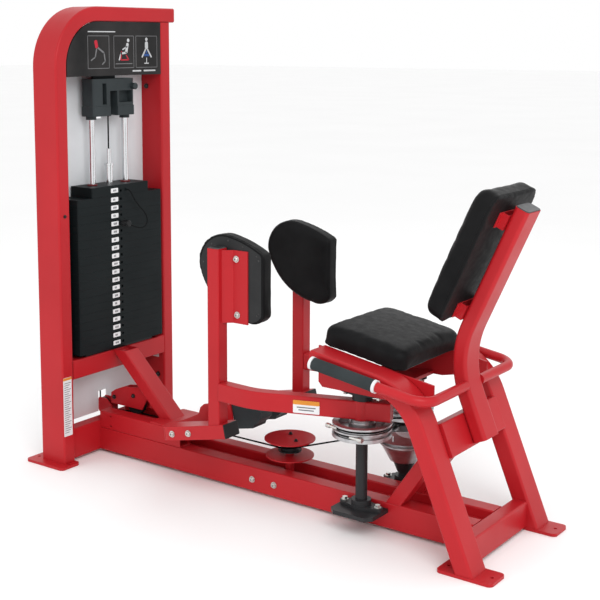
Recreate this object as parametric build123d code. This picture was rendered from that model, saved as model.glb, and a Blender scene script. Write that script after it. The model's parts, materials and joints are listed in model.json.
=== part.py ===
from build123d import *
import os
from math import asin, atan2, cos, degrees, hypot, radians, sin, tan

# Hip abductor machine: weight-stack tower, low beam, raked rear frame with seat, and two
# coupled leg arms on upright pivots.  Millimetres, +Z up, +X from the tower to the seat,
# the user faces -X.  The model is laid out from the tower's front face (x = 0) and moved
# at the end so that the origin is the bottom centre of its box.
ORIGIN_X = 828.0

# ---- driving dimensions -------------------------------------------------------------
TOWER_HEIGHT = 1765.0
PLATE = 10.0                      # thickness of the foot plates
WALL = 3.0                        # wall of the steel tubes

UPRIGHT_FRONT = 20.0              # +X face of the two tower uprights
UPRIGHT_DEPTH = 127.0
UPRIGHT_BACK = UPRIGHT_FRONT - UPRIGHT_DEPTH
UPRIGHT_INNER = 263.0             # |y| of the inner faces
UPRIGHT_THICK = 57.0
UPRIGHT_OUTER = UPRIGHT_INNER + UPRIGHT_THICK
ARCH_BEND = 230.0                 # outer radius of the bend at the top
ARCH_OVERHANG = 27.0              # top tube past the far upright
SHROUD_X = -88.0                  # front face of the sheet behind the stack

BEAM_END = 1707.0
RAIL_INNER = 42.0
RAIL_OUTER = 103.0
RAIL_TOP = 100.0
RISER_TOP = 169.0
RISER_END = 420.0

STACK_X = -28.0                   # centre line of the weight stack
STACK_DEPTH = 116.0
STACK_FRONT = STACK_X + STACK_DEPTH / 2 + 5.0
STACK_BACK = STACK_FRONT - STACK_DEPTH
STACK_HALF = 237.0
STACK_BOTTOM = 424.0
PITCH = 32.0                      # one weight plate and its gap
GAP = 0.4
PLATES = 19
PLATES_LIFTED = 4                 # plates above the selector pin
HEAD_HALF = 160.0
HEAD_HEIGHT = 40.0
ROD_Y = 93.0
ROD_R = 12.5
STEM_R = 16.0
PIN_R = 5.0

CABLE_R = 3.0
LINK_R = 2.5
CABLE_Z = 157.0                   # height of the cable where it leaves the guide pulley
CABLE_BACK = -99.5                # the cable's run down behind the stack
TOP_PULLEY_R = (STACK_X - CABLE_BACK) / 2
REAR_PULLEY_R = 20.0
GUIDE_PULLEY_R = 40.0
GUIDE_X = 105.0
MID_PULLEY_R = 36.0
MID_PULLEY = (868.0, -10.0)
MID_CABLE_Z = 176.0

LEG_TILT = 22.3                   # rear legs and lower spine, back from upright
SEAT_TILT = 9.5
LEG_INNER = 188.0
LEG_OUTER = 284.0
LEG_DEPTH = 59.0
LEG_FOOT_X = 1716.0
SEAT_RAIL_FRONT = (1143.0, 632.0)  # top front edge of the seat rails
LEG_BEND = 201.0

SPINE_WIDE = 100.0
SPINE_DEEP = 50.0
SPINE_TOP = (1765.0, 1121.0)
SPINE_TILT = 24.3
SPINE_BEND = 300.0
SPINE_SETBACK = 10.0              # crossbar and spine stand behind the legs' rear faces
SPINE_FOOT_Z = 345.0
BRACE_FOOT_X = 1358.0             # where the braces' centre lines cross the rails' top
BRACE_TILT = 55.5

PIVOT_X = 1258.0
PIVOT_Y = 142.0
SHAFT_R = 20.0
CAM_R = 92.0                      # radius of the link cables on the cams
CAM_RIM = 100.0
CAM_LOW = 331.0
CAM_HIGH = 378.0
LINK_UPPER_Z = 366.0
LINK_LOWER_Z = 349.0
DRUM_R = 80.0                     # radius of the main cable on the far shaft
DRUM_Z = 240.0
HUB_R = 42.0
RUNNING = 0.05                    # radial clearance of a running fit

POST_X = 730.0
POST_Y = 254.5
POST = 51.0
POST_TOP = 925.0
BAR_LOW = 388.0
BAR_HIGH = 452.0
BAR_WIDE = 51.0
BAR_BEND = (900.0, 268.0)
BAR_END = (1352.0, 109.0)

FOOT_TUBE_END = (784.6, 257.2)    # lower rear edge of the foot tube, XZ
FOOT_TILT = 12.5                  # the foot tube falls towards the tower
FOOT_TUBE_LONG = 320.0
FOOT_TUBE_HIGH = 50.0
FOOT_TUBE_OUTER = 283.0
FOOT_TUBE_INNER = 207.0
CHEEK_Y = 110.0                   # outer face of the foot bracket's cheek

PAD_THICK = 55.0
PAD_OUTER = 228.5                 # |y| of the thigh pads' outer faces

HANDLE_Y = 310.0
HANDLE_R = 16.5
HANDLE_CORNER = (1589.0, 535.0)
HANDLE_TILT = 8.7
HANDLE_FRONT = 1164.0
GRIP_SPAN = (1176.0, 1405.0)


# ---- helpers ------------------------------------------------------------------------
def block(x, y, z):
    """A box from three (low, high) pairs."""
    size = [b - a for a, b in (x, y, z)]
    middle = [(a + b) / 2 for a, b in (x, y, z)]
    return Pos(*middle) * Box(*size)


def post(x, y, z_low, z_high, radius):
    """An upright cylinder."""
    return Pos(x, y, (z_low + z_high) / 2) * Cylinder(radius, z_high - z_low)


def rod_x(x_low, x_high, y, z, radius):
    return Pos((x_low + x_high) / 2, y, z) * Rot(0, 90, 0) * Cylinder(radius, x_high - x_low)


def rod_y(x, y_low, y_high, z, radius):
    return Pos(x, (y_low + y_high) / 2, z) * Rot(90, 0, 0) * Cylinder(radius, y_high - y_low)


def outline_xz(points, y_low, y_high):
    """A plate parallel to the XZ plane from its corner points."""
    face = make_face(Polyline(*[(x, y_low, z) for x, z in points], close=True))
    return extrude(face, amount=y_high - y_low, dir=(0, 1, 0))


def ring(shaft_r, outer_r, z_low, z_high, x=0.0, y=0.0):
    return post(x, y, z_low, z_high, outer_r) - post(x, y, z_low - 1, z_high + 1, shaft_r)


def far(part):
    """The same piece on the far (+Y) side."""
    return mirror(part, about=Plane.XZ)


def both(part):
    return [part, far(part)]


def slotted_pulley(root_r, rim_r, groove, thick, bore_r):
    """A grooved pulley about the Z axis, centred on the origin."""
    rim = ring(bore_r, rim_r, -thick / 2, thick / 2)
    cut = ring(root_r, rim_r + 5, -groove / 2, groove / 2)
    return rim - cut


def sweep_section(path, side, section):
    """Sweeps a flat section along a path; side is the section's own X direction."""
    plane = Plane(origin=path @ 0, x_dir=side, z_dir=path % 0)
    return sweep(plane * section, path=path)


def bent_tube(points, radii, wide, deep, side, corner=8.0, wall=WALL, open_by=20.0):
    """A rectangular tube along filleted points, open at its first end, closed at its last."""
    path = FilletPolyline(*points, radius=radii)
    outer = sweep_section(path, side, RectangleRounded(wide, deep, corner))
    first = Vector(points[0]) - (path % 0) * open_by
    last = Vector(points[-1]) - (path % 1) * wall
    inner_path = FilletPolyline(first, *points[1:-1], last, radius=radii)
    hollow = RectangleRounded(wide - 2 * wall, deep - 2 * wall, corner - wall)
    return outer - sweep_section(inner_path, side, hollow)


def straight_tube(first, last, wide, deep, side, corner=6.0, wall=WALL, through=True, capped=False):
    """A straight rectangular tube; both ends open, the last one closed, or both capped."""
    start, end = Vector(first), Vector(last)
    along = (end - start).normalized()
    plane = Plane(origin=start, x_dir=side, z_dir=along)
    length = (end - start).length
    outer = extrude(plane * RectangleRounded(wide, deep, corner), amount=length)
    lead = -wall if capped else 5
    low = Plane(origin=start - along * lead, x_dir=side, z_dir=along)
    reach = length + lead + (5 if through and not capped else -wall)
    hollow = RectangleRounded(wide - 2 * wall, deep - 2 * wall, max(corner - wall, 0.8))
    return outer - extrude(low * hollow, amount=reach)


def save(name, *pieces):
    """Moves a node's solids to the final origin and writes them as one file."""
    solids = []
    for piece in pieces:
        solids += piece.solids()
    moved = [Pos(-ORIGIN_X, 0, 0) * solid for solid in solids]
    shape = Compound(children=moved) if len(moved) > 1 else moved[0]
    export_step(shape, os.path.join("parts", name + ".step"))


def meet(p, p_dir, q, q_dir):
    """Where two lines of the XZ plane cross."""
    cross = p_dir[0] * q_dir[1] - p_dir[1] * q_dir[0]
    t = ((q[0] - p[0]) * q_dir[1] - (q[1] - p[1]) * q_dir[0]) / cross
    return p[0] + t * p_dir[0], p[1] + t * p_dir[1]


# ---- tower --------------------------------------------------------------------------
def tower():
    middle_x = (UPRIGHT_FRONT + UPRIGHT_BACK) / 2
    middle_y = (UPRIGHT_INNER + UPRIGHT_OUTER) / 2
    top_z = TOWER_HEIGHT - UPRIGHT_THICK / 2
    arch_points = [
        (middle_x, -middle_y, PLATE),
        (middle_x, -middle_y, top_z),
        (middle_x, UPRIGHT_OUTER + ARCH_OVERHANG, top_z),
    ]
    save("tower_arch", bent_tube(arch_points, ARCH_BEND - UPRIGHT_THICK / 2,
                                 UPRIGHT_DEPTH, UPRIGHT_THICK, (1, 0, 0)))
    save("far_upright", straight_tube((middle_x, middle_y, PLATE),
                                      (middle_x, middle_y, TOWER_HEIGHT - UPRIGHT_THICK),
                                      UPRIGHT_DEPTH, UPRIGHT_THICK, (1, 0, 0), corner=8.0))

    save("base_cross_tube", straight_tube((-27.5, -UPRIGHT_INNER, 70), (-27.5, UPRIGHT_INNER, 70),
                                          55, 120, (1, 0, 0)))
    crossbar = straight_tube((-18.5, -UPRIGHT_INNER, 372), (-18.5, UPRIGHT_INNER, 372),
                             77, 76, (1, 0, 0))
    for y in (-ROD_Y, ROD_Y):
        crossbar -= post(STACK_X, y, 400, 420, ROD_R + 0.2)
    save("stack_crossbar", crossbar)

    shroud = block((SHROUD_X - 3, SHROUD_X), (-UPRIGHT_INNER + 0.3, UPRIGHT_INNER - 0.3), (131, 1640))
    for low, high in ((120, 215), (1328, 1428)):
        shroud -= block((SHROUD_X - 4, SHROUD_X + 1), (-23, 23), (low, high))
    bend_y = ARCH_BEND - UPRIGHT_OUTER
    bend_z = TOWER_HEIGHT - ARCH_BEND
    inside_bend = ARCH_BEND - UPRIGHT_THICK - 0.3
    corner = block((SHROUD_X - 4, SHROUD_X + 1), (-UPRIGHT_OUTER, bend_y), (bend_z, TOWER_HEIGHT))
    corner -= rod_x(SHROUD_X - 5, SHROUD_X + 2, bend_y, bend_z, inside_bend)
    save("rear_shroud", shroud - corner)
    save("placard", placard())


def placard():
    """Front panel under the arch; its near top corner follows the bend of the tube."""
    inner_r = ARCH_BEND - UPRIGHT_THICK
    low, high = 1500.0, TOWER_HEIGHT - UPRIGHT_THICK - 0.3
    side = UPRIGHT_INNER - 0.3
    panel = block((UPRIGHT_FRONT - 7, UPRIGHT_FRONT - 1), (-side, side), (low, high))
    corner = block((UPRIGHT_FRONT - 8, UPRIGHT_FRONT), (-side - 1, -side + inner_r),
                   (high - inner_r, high + 1))
    corner -= rod_x(UPRIGHT_FRONT - 9, UPRIGHT_FRONT + 1, -side + inner_r, high - inner_r, inner_r)
    return panel - corner


def pulley_housing():
    """Moulded top guide on a hanger: holds the rods' upper ends and the top pulley."""
    half = 117.0
    body = fillet(block((-60, 8), (-half, half), (1343, 1381)).edges().filter_by(Axis.Z), 8)
    body += fillet(block((-58, 6), (-half + 2, half - 2), (1381, 1488)).edges().filter_by(Axis.Z), 8)
    body += block((-56, -44), (-60, 60), (1488, TOWER_HEIGHT - UPRIGHT_THICK))
    body += rod_x(6, 22, 108, 1456, 13)
    body -= block((-120, 20), (-62, -40), (1388, 1470))
    body -= block((-120, 20), (-20, 20), (1330, 1440))
    body -= block((-20, 20), (30, 104), (1394, 1440))
    for y in (-ROD_Y, ROD_Y):
        body += post(STACK_X, y, 1330, 1343, 20)
        body -= post(STACK_X, y, 1320, 1380, ROD_R + 0.2)
    return body + rod_y(PULLEY_TOP_X, -30, 30, PULLEY_TOP_Z, 6)


PULLEY_TOP_X = STACK_X - TOP_PULLEY_R
PULLEY_TOP_Z = 1378.0


def pulleys_and_guard():
    rim = TOP_PULLEY_R + 5
    wheel = slotted_pulley(TOP_PULLEY_R - CABLE_R - 0.4, rim, 8, 18, 6.2)
    save("top_pulley", Pos(PULLEY_TOP_X, 0, PULLEY_TOP_Z) * Rot(90, 0, 0) * wheel)

    rear = slotted_pulley(REAR_PULLEY_R - CABLE_R - 0.4, REAR_PULLEY_R + 6, 8, 20, 6.2)
    save("rear_pulley", Pos(REAR_X, 0, REAR_Z) * Rot(90, 0, 0) * rear)
    guide = slotted_pulley(GUIDE_PULLEY_R - CABLE_R - 0.4, GUIDE_PULLEY_R + 6, 8, 20, 6.2)
    save("guide_pulley", Pos(GUIDE_X, 0, GUIDE_Z) * Rot(90, 0, 0) * guide)
    save("pulley_guards", *both(guard_cheek()), *both(rear_ear()))

    x, y = MID_PULLEY
    wheel = slotted_pulley(MID_PULLEY_R - CABLE_R - 0.6, MID_PULLEY_R + 7, 28, 36, 10.2)
    save("mid_pulley", Pos(x, y, MID_CABLE_Z + 2) * wheel)
    stand = post(x, y, CHANNEL_TOP, 207, 10.0)
    stand += post(x, y, CHANNEL_TOP, 158, 16.0)
    stand += post(x, y, 141, 145, 88.0)
    stand += post(x, y, 203, 207, 93.0)
    save("pulley_stand", stand)


REAR_X = CABLE_BACK + REAR_PULLEY_R
REAR_Z = 160.0
CHANNEL_TOP = 66.0
GUIDE_Z = CABLE_Z + GUIDE_PULLEY_R


def guard_cheek():
    """One side of the guard over the larger lower pulley, welded under the strut."""
    y_low, y_high = -20.0, -14.0
    plate = outline_xz([(-18, 178), (150, 178), (164, 204), (187, 238), (150, 273), (95, 262),
                        (55, 258), (10, 240), (-18, 222)], y_low, y_high)
    return plate + axle_half(GUIDE_X, GUIDE_Z, 9)


def rear_ear():
    """One ear of the small rear pulley, standing on the base cross tube."""
    plate = outline_xz([(-55, 130), (-19, 130), (-19, 165), (-50, 190), (-86, 190), (-92, 180),
                        (-92, 140), (-86, 130)], -20, -14)
    return plate + axle_half(REAR_X, REAR_Z, 9)


def axle_half(x, z, boss):
    """Half a pulley's axle, with the boss that keeps the pulley off its plate."""
    return rod_y(x, -14.0, -10.3, z, boss) + rod_y(x, -14.0, -0.1, z, 6)


# ---- weight stack -------------------------------------------------------------------
def weight_plate(index):
    """Plate number index, counted down from the head plate."""
    top = STACK_BOTTOM + PLATES * PITCH - index * PITCH
    body = block((STACK_BACK, STACK_FRONT), (-STACK_HALF, STACK_HALF), (top - PITCH + GAP, top))
    body = fillet(body.edges().filter_by(Axis.Z), 4)
    for y in (-ROD_Y, ROD_Y):
        body -= post(STACK_X, y, top - PITCH - 1, top + 1, ROD_R + 1.5)
    body -= post(STACK_X, 0, top - PITCH - 1, top + 1, STEM_R + 1.0)
    return body - rod_x(STACK_X, STACK_FRONT + 1, 0, top - PITCH / 2, PIN_R + 0.6)


def weights():
    save("lifted_weights", *[weight_plate(i) for i in range(PLATES_LIFTED)])
    save("lower_weights", *[weight_plate(i) for i in range(PLATES_LIFTED, PLATES)])

    head_low = STACK_BOTTOM + PLATES * PITCH + GAP
    head = block((STACK_BACK, STACK_FRONT), (-HEAD_HALF, HEAD_HALF), (head_low, head_low + HEAD_HEIGHT))
    head = fillet(head.edges().filter_by(Axis.Z), 4)
    for y in (-ROD_Y, ROD_Y):
        head -= post(STACK_X, y, head_low - 1, head_low + 50, ROD_R + 1.5)
    head -= post(STACK_X, 0, head_low - 1, head_low + 50, STEM_R + 0.2)
    head -= rod_x(STACK_X, STACK_FRONT + 1, 0, head_low + PITCH / 2, PIN_R + 0.6)
    head += rod_x(STACK_FRONT - 2, STACK_FRONT + 5, 32, EYE_Z, 5)
    save("head_plate", head)
    bushes = [ring(ROD_R + 0.1, 20, head_low + HEAD_HEIGHT, head_low + HEAD_HEIGHT + 5, STACK_X, y)
              for y in (-ROD_Y, ROD_Y)]
    save("rod_bushings", *bushes)

    stem_top = head_low + HEAD_HEIGHT + 73
    stem = post(STACK_X, 0, STACK_BOTTOM + 2, stem_top, STEM_R)
    for i in range(PLATES + 1):
        z = STACK_BOTTOM + PITCH / 2 + i * PITCH - 0.2
        stem -= rod_x(STACK_X - 30, STACK_X + 30, 0, z, PIN_R + 0.6)
    stem += post(STACK_X, 0, stem_top, stem_top + 8, 19)
    stem += post(STACK_X, 0, stem_top + 8, FITTING_TOP, 9)
    save("selector_stem", stem)

    pin_z = STACK_BOTTOM + (PLATES - PLATES_LIFTED) * PITCH + PITCH / 2
    shaft = rod_x(STACK_X - 14, STACK_FRONT + 14, 0, pin_z, PIN_R)
    knob = rod_x(STACK_FRONT + 12, STACK_FRONT + 44, 0, pin_z, 13)
    knob = fillet(knob.edges().filter_by(GeomType.CIRCLE), 4)
    collar = rod_x(STACK_FRONT + 1, STACK_FRONT + 14, 0, pin_z, 8)
    save("selector_pin", shaft + collar + knob)

    rods = [post(STACK_X, y, 396, 1379.8, ROD_R) for y in (-ROD_Y, ROD_Y)]
    save("guide_rods", *rods)
    rest_z = STACK_BOTTOM - GAP
    rest = block((-54, 16), (-190, 190), (410, rest_z))
    for y in (-ROD_Y, ROD_Y):
        rest -= post(STACK_X, y, 400, 430, ROD_R + 0.2)
    save("stack_rest", rest)


EYE_Z = STACK_BOTTOM + PLATES * PITCH + 18.0
FITTING_TOP = 1212.0


# ---- the cord that keeps the selector pin -------------------------------------------
LANYARD_R = 1.6
LANYARD = [
    (STACK_FRONT + 5.0, 32.0, EYE_Z),
    (STACK_FRONT + 14.0, 32.0, EYE_Z),
    (STACK_FRONT + 19.0, 42.0, 1035.0),
    (STACK_FRONT + 15.0, 64.0, 1005.0),
    (STACK_FRONT + 13.0, 96.0, 974.0),
    (STACK_FRONT + 17.0, 122.0, 948.0),
    (STACK_FRONT + 26.0, 127.0, 920.0),
    (STACK_FRONT + 34.0, 108.0, 898.0),
    (STACK_FRONT + 36.0, 78.0, 892.0),
    (STACK_FRONT + 34.0, 50.0, 899.0),
    (STACK_FRONT + 29.0, 30.0, 909.0),
    (STACK_FRONT + 28.0, 13.3, 912.0),
]


def corner_radii(points):
    """The largest tangent arc that each corner's two runs leave room for."""
    radii = []
    for a, b, c in zip(points, points[1:], points[2:]):
        before, after = Vector(b) - Vector(a), Vector(c) - Vector(b)
        turn = radians(before.get_angle(after))
        radii.append(0.45 * min(before.length, after.length) / tan(turn / 2))
    return radii


def lanyard():
    radii = corner_radii(LANYARD)
    print("lanyard radii", [round(r, 1) for r in radii])
    path = FilletPolyline(*LANYARD, radius=radii)
    tube = sweep_section(path, (0, 1, 0), Circle(LANYARD_R))
    print("lanyard length", round(path.length, 1),
          "volume ratio", round(tube.volume / (path.length * 3.14159265 * LANYARD_R ** 2), 4))
    save("pin_lanyard", tube)


# ---- steel cables -------------------------------------------------------------------
def arc_points(centre, radius, start, end, z):
    """First and last point of a level arc, and its middle, angles in degrees."""
    return [Vector(centre[0] + radius * cos(radians(a)), centre[1] + radius * sin(radians(a)), z)
            for a in (start, (start + end) / 2, end)]


def level_arc(centre, radius, start, end, z):
    return ThreePointArc(*arc_points(centre, radius, start, end, z))


def upright_arc(centre, radius, start, end):
    """An arc in the plane y = 0, angles in degrees from +X towards +Z."""
    points = [(centre[0] + radius * cos(radians(a)), 0, centre[1] + radius * sin(radians(a)))
              for a in (start, (start + end) / 2, end)]
    return ThreePointArc(*points)


def heading(start, start_r, end, end_r):
    """Plan angle of a run from one round to another; a positive radius is passed on its left."""
    dx, dy = end[0] - start[0], end[1] - start[1]
    return degrees(atan2(dy, dx) - asin((start_r - end_r) / hypot(dx, dy)))


def beside(centre, radius, angle):
    """The point of a round where a run with that heading touches it (radius > 0: its left)."""
    return (centre[0] - radius * sin(radians(angle)), centre[1] + radius * cos(radians(angle)))


def direction(angle):
    return cos(radians(angle)), sin(radians(angle))


def cables():
    """Main cable: top pulley, down the back, under the beam pulleys, to the drum on the far shaft."""
    save("lift_cable", post(STACK_X, 0, FITTING_TOP, PULLEY_TOP_Z, CABLE_R))

    over = upright_arc((PULLEY_TOP_X, PULLEY_TOP_Z), TOP_PULLEY_R, 0, 180)
    # common tangent under the two lower pulleys
    run = GUIDE_X - REAR_X
    rise = GUIDE_Z - REAR_Z
    slope = degrees(atan2(rise, run) - asin((GUIDE_PULLEY_R - REAR_PULLEY_R) / hypot(run, rise)))
    under_rear = upright_arc((REAR_X, REAR_Z), REAR_PULLEY_R, 180, 270 + slope)
    under_guide = upright_arc((GUIDE_X, GUIDE_Z), GUIDE_PULLEY_R, 270 + slope, 270)

    bend = (GUIDE_X + 45, 0)
    drum = (PIVOT_X, PIVOT_Y)
    arriving = heading(bend, 0, MID_PULLEY, -MID_PULLEY_R)
    leaving = heading(MID_PULLEY, -MID_PULLEY_R, drum, DRUM_R)
    turn = meet(bend, direction(arriving), beside(MID_PULLEY, -MID_PULLEY_R, leaving), direction(leaving))
    wrap = level_arc(drum, DRUM_R, leaving + 90, leaving + 20, DRUM_Z)
    lead_in = (wrap @ 0) - Vector(*direction(leaving), 0) * 30
    lead = FilletPolyline(under_guide @ 1, (*bend, CABLE_Z), (*turn, MID_CABLE_Z), lead_in, wrap @ 0,
                          radius=[400, MID_PULLEY_R, 80])
    edges = [over, Line(over @ 1, under_rear @ 0), under_rear, Line(under_rear @ 1, under_guide @ 0),
             under_guide, *lead.edges(), wrap]
    section = Plane(origin=over @ 0, x_dir=(0, 1, 0), z_dir=(0, 0, 1)) * Circle(CABLE_R)
    save("main_cable", sweep(section, path=Wire(edges)))

    upper = link_path(UPPER_ANCHOR, LINK_UPPER_Z, 1)
    lower = link_path(LOWER_ANCHOR, LINK_LOWER_Z, -1)
    save("link_cables", *[sweep(Plane(origin=path @ 0, z_dir=path % 0) * Circle(LINK_R), path=path)
                          for path in (upper, lower)])
    save("cable_fittings", fitting(upper), fitting(lower))


UPPER_ANCHOR = 256.0              # angle on the near cam where each link cable is fastened
LOWER_ANCHOR = 264.0


def link_path(anchor, z, sense):
    """A crossed cable between the cams: sense 1 leaves the near cam on its seat side."""
    lean = degrees(asin(CAM_R / PIVOT_Y))
    near_c, far_c = (PIVOT_X, -PIVOT_Y), (PIVOT_X, PIVOT_Y)
    if sense > 0:
        first = level_arc(near_c, CAM_R, anchor, 360 + lean, z)
        last = level_arc(far_c, CAM_R, 180 + lean, anchor - 180, z)
    else:
        first = level_arc(near_c, CAM_R, anchor, 180 - lean, z)
        last = level_arc(far_c, CAM_R, 360 - lean, anchor + 180, z)
    lead = Line((first @ 0) - (first % 0) * LINK_LEAD, first @ 0)
    return Wire([lead, first, Line(first @ 1, last @ 0), last])


LINK_LEAD = 22.0                  # straight end of a link cable, off the cam


def fitting(path):
    """Swaged end of a link cable, with its round anchor, in line with the cable's end."""
    start = path @ 0
    back = (path % 0) * -1
    sleeve = extrude(Plane(origin=start, z_dir=back) * Circle(5), amount=37)
    anchor = extrude(Plane(origin=start + back * 35, z_dir=back) * Circle(8), amount=16)
    return sleeve + anchor


# ---- beam ---------------------------------------------------------------------------
def beam():
    """Two rails with a channel plate between them, risers at the tower and a rear cross tube."""
    rail_y = (RAIL_INNER + RAIL_OUTER) / 2
    rail_z = (PLATE + RAIL_TOP) / 2
    riser_z = (RAIL_TOP + RISER_TOP) / 2
    wide, tall = RAIL_OUTER - RAIL_INNER, RAIL_TOP - PLATE
    crossbar_x = BEAM_END - CROSSBAR_DEPTH
    rail = straight_tube((0, -rail_y, rail_z), (crossbar_x, -rail_y, rail_z), wide, tall, (0, 1, 0), corner=5)
    riser = straight_tube((0, -rail_y, riser_z), (RISER_END, -rail_y, riser_z), wide,
                          RISER_TOP - RAIL_TOP, (0, 1, 0), corner=5)
    for z in (riser_z - 20, riser_z + 20):
        riser -= rod_y(58, -RAIL_OUTER - 5, -RAIL_OUTER + 8, z, 4)
    side = rail + riser
    crossbar = straight_tube((crossbar_x + CROSSBAR_DEPTH / 2, -LEG_INNER, rail_z),
                             (crossbar_x + CROSSBAR_DEPTH / 2, LEG_INNER, rail_z),
                             CROSSBAR_DEPTH, tall, (1, 0, 0))
    channel = block((0.5, crossbar_x), (-RAIL_INNER - 1, RAIL_INNER + 1), (CHANNEL_TOP - 8, CHANNEL_TOP))
    save("main_beam", side + far(side) + channel + crossbar)

    bridge = block((262, RISER_END), (-100, 100), (RISER_TOP, RISER_TOP + 6))
    bridge = fillet(bridge.edges().filter_by(Axis.Z), 8)
    strut = straight_tube((5, 0, 448.7), (350, 0, 116.2), 80, 50, (0, 1, 0), corner=6)
    strut -= block((-200, UPRIGHT_FRONT), (-60, 60), (0, 800))
    strut -= block((-200, 800), (-60, 60), (411, 800))
    strut -= block((0, 800), (-60, 60), (0, RISER_TOP + 5))
    save("diagonal_strut", strut + bridge)

    plate = block((1176, 1340), (-224, -RAIL_OUTER), (66, 80))
    plate = chamfer(plate.edges().filter_by(Axis.Z).group_by(Axis.Y)[0], 22)
    save("pivot_plates", *both(plate))


CROSSBAR_DEPTH = 52.0


def flange_bearing(z_low, up):
    """Oval two-bolt bearing unit on the near pivot; up is the side its boss is on."""
    oval = make_hull((Pos(PIVOT_X - 65, -PIVOT_Y) * Circle(17)).edges()
                     + (Pos(PIVOT_X + 65, -PIVOT_Y) * Circle(17)).edges()
                     + (Pos(PIVOT_X, -PIVOT_Y) * Circle(38)).edges())
    base_z = z_low if up else z_low + 18
    unit = extrude(Pos(0, 0, base_z) * oval, amount=12)
    unit += post(PIVOT_X, -PIVOT_Y, z_low, z_low + 30, 34)
    unit -= post(PIVOT_X, -PIVOT_Y, z_low - 1, z_low + 31, SHAFT_R + RUNNING)
    for dx in (-65, 65):
        unit -= post(PIVOT_X + dx, -PIVOT_Y, base_z - 1, base_z + 13, 6.5)
    return unit


def hex_bolt(x, y, z, up=1):
    """A hexagon head with its washer on a level face; the shank fills its hole."""
    bolt = extrude(RegularPolygon(9.5, 6), amount=8)
    bolt += post(0, 0, -2, 0, 12) + post(0, 0, -14, -2, 6.45)
    turn = Rot(0, 0, 0) if up > 0 else Rot(180, 0, 0)
    return Pos(x, y, z) * turn * bolt


def button_bolt(x, y, z, facing, radius=9.0):
    """A round socket head with its washer, standing on a face that looks along facing."""
    washer = Plane(origin=(x, y, z), z_dir=facing) * extrude(Circle(radius + 3), amount=2)
    head = extrude(Circle(radius), amount=8)
    head = fillet(head.edges().group_by(Axis.Z)[-1], 3) - extrude(RegularPolygon(radius * 0.45, 6), amount=9)
    return washer + Plane(origin=(x, y, z), z_dir=facing) * Pos(0, 0, 1) * head


def bearings_and_bolts():
    lower = flange_bearing(80, True)
    upper = flange_bearing(454, False)
    save("flange_bearings", *both(lower), *both(upper))
    bolts = []
    for dx in (-65, 65):
        bolts += both(hex_bolt(PIVOT_X + dx, -PIVOT_Y, 94))
        bolts += both(hex_bolt(PIVOT_X + dx, -PIVOT_Y, 470, up=-1))
    for x in (766, 864):
        bolts += both(button_bolt(x, -RAIL_OUTER, 54, (0, -1, 0)))
    save("frame_bolts", *bolts)

    dark = [button_bolt(UPRIGHT_FRONT, -291, 976, (1, 0, 0), 4)]
    for x, z in ((-61, 1450), (-15, 236)):
        dark += both(button_bolt(x, -UPRIGHT_INNER, z, (0, 1, 0), 8))
    for x, z in ((105, 228), (0, 206)):
        dark += both(button_bolt(x, -20, z, (0, -1, 0), 6))
    for x, y in ((847, 23), (909, -30)):
        dark.append(button_bolt(x, y, 207, (0, 0, 1), 5))
    save("dark_bolts", *dark)


# ---- rear frame ---------------------------------------------------------------------
LEG_UP = (-sin(radians(LEG_TILT)), cos(radians(LEG_TILT)))
LEG_OUT = (cos(radians(LEG_TILT)), sin(radians(LEG_TILT)))
RAIL_BACK = (cos(radians(SEAT_TILT)), -sin(radians(SEAT_TILT)))
RAIL_UP = (sin(radians(SEAT_TILT)), cos(radians(SEAT_TILT)))


def leg_corner():
    front = (SEAT_RAIL_FRONT[0] - RAIL_UP[0] * LEG_DEPTH / 2,
             SEAT_RAIL_FRONT[1] - RAIL_UP[1] * LEG_DEPTH / 2)
    return front, meet((LEG_FOOT_X, PLATE), LEG_UP, front, RAIL_BACK)


def leg_station(z, beyond_rear=0.0):
    """A point of the legs' rear face plane at height z, moved back by beyond_rear."""
    t = (z - PLATE) / LEG_UP[1]
    x = LEG_FOOT_X + t * LEG_UP[0] + LEG_DEPTH / 2 / LEG_OUT[0]
    return x + LEG_OUT[0] * beyond_rear, z + LEG_OUT[1] * beyond_rear


def rear_frame():
    front, corner = leg_corner()
    y = -(LEG_INNER + LEG_OUTER) / 2
    foot = (LEG_FOOT_X - LEG_UP[0] * 60, PLATE - LEG_UP[1] * 60)
    leg = bent_tube([(foot[0], y, foot[1]), (corner[0], y, corner[1]), (front[0], y, front[1])],
                    LEG_BEND, LEG_OUTER - LEG_INNER, LEG_DEPTH, (0, 1, 0))
    leg -= block((1500, 2000), (-400, 0), (-200, PLATE))
    save("leg_near", leg)
    save("leg_far", far(leg))
    save("rear_crossbar", raked_bar(SPINE_FOOT_Z - 8, 112, SPINE_SETBACK, LEG_INNER))
    save("leg_braces", *both(leg_brace()))


def leg_brace():
    """Brace from the top of the near rail, up and back to the front of the rear crossbar."""
    rise = Vector(cos(radians(BRACE_TILT)), 0, sin(radians(BRACE_TILT)))
    foot = Vector(BRACE_FOOT_X, -(RAIL_INNER + RAIL_OUTER) / 2, RAIL_TOP)
    brace = straight_tube(foot - rise * 60, foot + rise * 420, RAIL_OUTER - RAIL_INNER, 48,
                          (0, 1, 0), corner=5)
    brace -= block((1000, 1700), (-400, 100), (-100, RAIL_TOP))
    front = Vector(*leg_station(SPINE_FOOT_Z - 8, SPINE_SETBACK - LEG_DEPTH))
    low, high = front - Vector(*LEG_UP) * 300, front + Vector(*LEG_UP) * 300
    behind = [(low.X, low.Y), (high.X, high.Y), (2000, high.Y), (2000, low.Y)]
    return brace - outline_xz(behind, -400, 100)


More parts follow.
